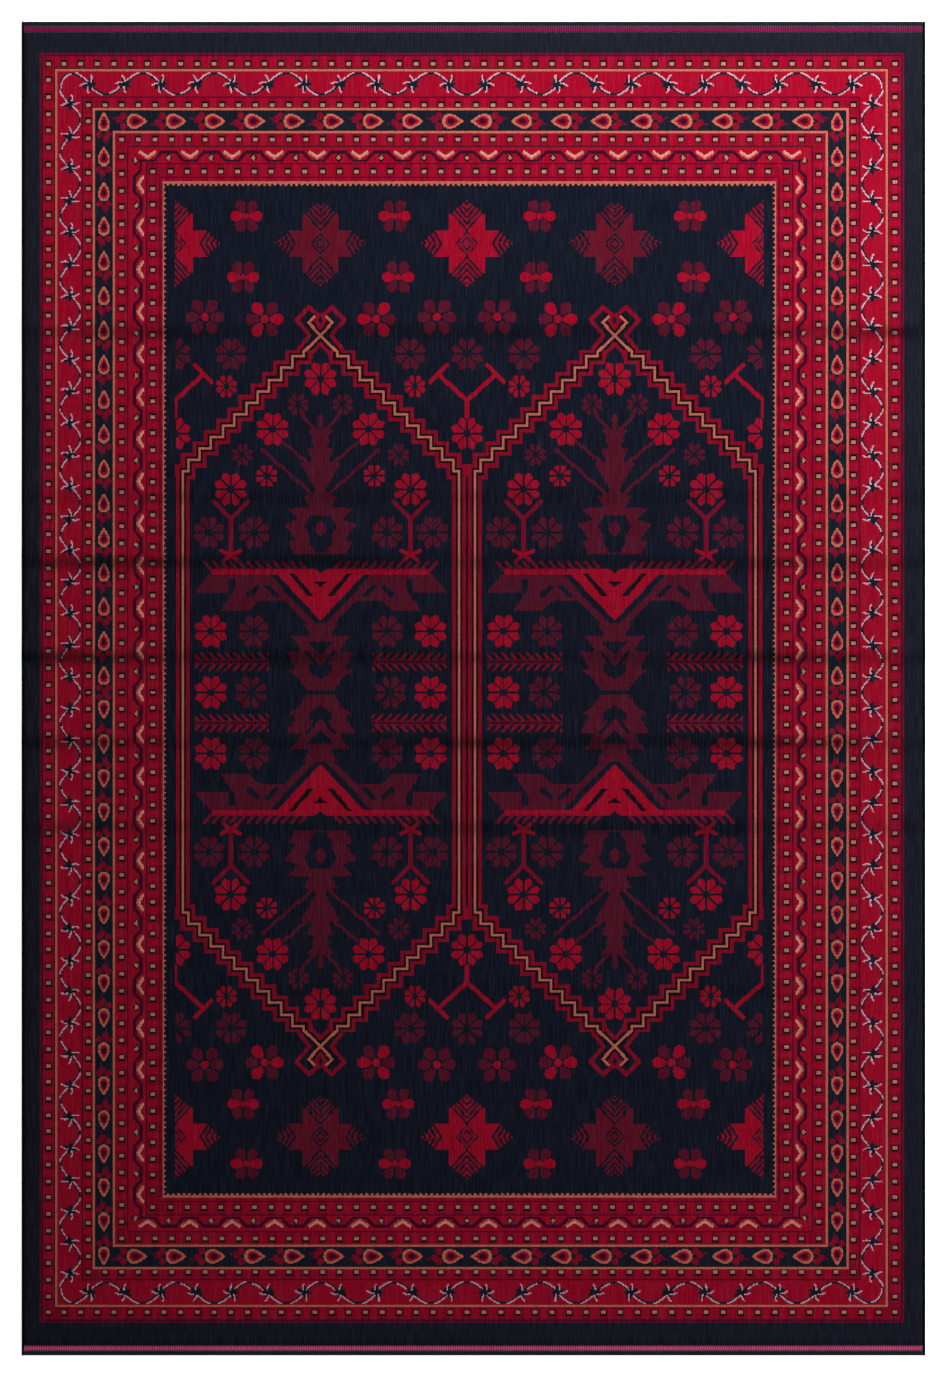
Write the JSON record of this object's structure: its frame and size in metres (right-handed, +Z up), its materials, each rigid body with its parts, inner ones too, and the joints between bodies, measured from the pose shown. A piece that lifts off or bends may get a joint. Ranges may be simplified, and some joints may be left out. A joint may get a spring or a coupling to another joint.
{
  "type": "area rug",
  "caption": "Rectangular machine-woven area rug with cut pile in bordered bands, overcast sides and flat-woven hemmed ends.",
  "frame": {"origin": "on the floor, under the middle of the rug", "axes": "+X across the rug's width, +Y along its length towards the head end, +Z up out of the pile"},
  "size_m": [1.6, 2.36, 0.01],
  "materials": {
    "navy_pile": "matt cut pile with a soft nap, very dark navy with woven motifs",
    "crimson_pile": "matt cut pile with a soft nap, deep crimson with woven motifs",
    "ground_weave": "ribbed natural jute and cotton back, lightly sized",
    "selvedge_cord": "plain undyed cotton cord",
    "overcast_yarn": "close-wrapped dark navy yarn",
    "flatweave": "fine ribbed flat weave, near-black navy",
    "magenta_weft": "ribbed magenta weft yarn",
    "hem_thread": "pale grey sewing thread"
  },
  "bodies": {
    "root": {"ground_weave": "ground_weave", "pile_margin_left": "navy_pile", "pile_margin_right": "navy_pile", "pile_margin_head": "navy_pile", "pile_margin_foot": "navy_pile", "outer_guard_left": "crimson_pile", "outer_guard_right": "crimson_pile", "outer_guard_head": "crimson_pile", "outer_guard_foot": "crimson_pile", "vine_border_left": "crimson_pile", "vine_border_right": "crimson_pile", "vine_border_head": "crimson_pile", "vine_border_foot": "crimson_pile", "second_guard_left": "crimson_pile", "second_guard_right": "crimson_pile", "second_guard_head": "crimson_pile", "second_guard_foot": "crimson_pile", "blossom_border_left": "navy_pile", "blossom_border_right": "navy_pile", "blossom_border_head": "navy_pile", "blossom_border_foot": "navy_pile", "third_guard_left": "crimson_pile", "third_guard_right": "crimson_pile", "third_guard_head": "crimson_pile", "third_guard_foot": "crimson_pile", "meander_border_left": "crimson_pile", "meander_border_right": "crimson_pile", "meander_border_head": "crimson_pile", "meander_border_foot": "crimson_pile", "inner_guard_left": "crimson_pile", "inner_guard_right": "crimson_pile", "inner_guard_head": "crimson_pile", "inner_guard_foot": "crimson_pile", "star_panel_head": "navy_pile", "star_panel_foot": "navy_pile", "medallion_head_left": "navy_pile", "medallion_head_right": "navy_pile", "medallion_foot_left": "navy_pile", "medallion_foot_right": "navy_pile", "selvedge_cord_left": "selvedge_cord", "overcast_edge_left": "overcast_yarn", "selvedge_cord_right": "selvedge_cord", "overcast_edge_right": "overcast_yarn", "flatweave_end_head": "flatweave", "weft_stripe_head": "magenta_weft", "hem_seam_outer_head": "hem_thread", "hem_seam_inner_head": "hem_thread", "flatweave_end_foot": "flatweave", "weft_stripe_foot": "magenta_weft", "hem_seam_outer_foot": "hem_thread", "hem_seam_inner_foot": "hem_thread"}
  },
  "joints": []
}
